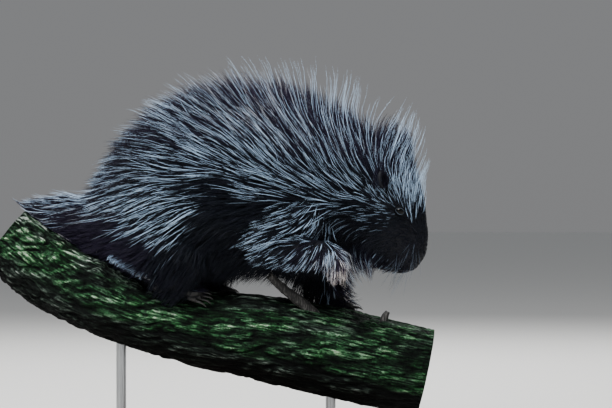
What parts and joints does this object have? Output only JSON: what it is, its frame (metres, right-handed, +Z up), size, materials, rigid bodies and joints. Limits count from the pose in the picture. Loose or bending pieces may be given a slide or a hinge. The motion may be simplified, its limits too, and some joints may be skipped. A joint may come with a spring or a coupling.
{
  "type": "porcupine display model",
  "caption": "Life-size still porcupine walking down a short limb, one forefoot raised, head low, long coat swept back, held over a flat base by rods.",
  "frame": {"origin": "centre of the underside of the stand's base", "axes": "+X the way the animal faces, along the limb; +Y its left side; +Z up"},
  "size_m": [0.7194, 0.2738, 0.6235],
  "materials": {
    "coat": "long blue-black hair with pale tips",
    "naked_skin": "pebbled dark skin",
    "eye": "wet gloss",
    "bark": "rough furrowed bark with moss",
    "base_wood": "satin varnish",
    "rod_steel": "brushed"
  },
  "bodies": {
    "root": {"tail": "coat", "torso": "coat", "neck": "coat", "head": "coat", "ear_left": "coat", "ear_right": "coat", "eye_left": "eye", "eye_right": "eye", "hind_leg_left": "coat", "hind_leg_right": "coat", "fore_leg_left": "coat", "fore_leg_right": "coat", "hind_foot_left": "naked_skin", "hind_foot_right": "naked_skin", "fore_foot_left": "naked_skin", "fore_foot_right": "naked_skin", "perch_limb": "bark", "perch_twig": "bark", "stand_base": "base_wood", "stand_rod_1": "rod_steel", "stand_rod_2": "rod_steel"}
  },
  "joints": []
}
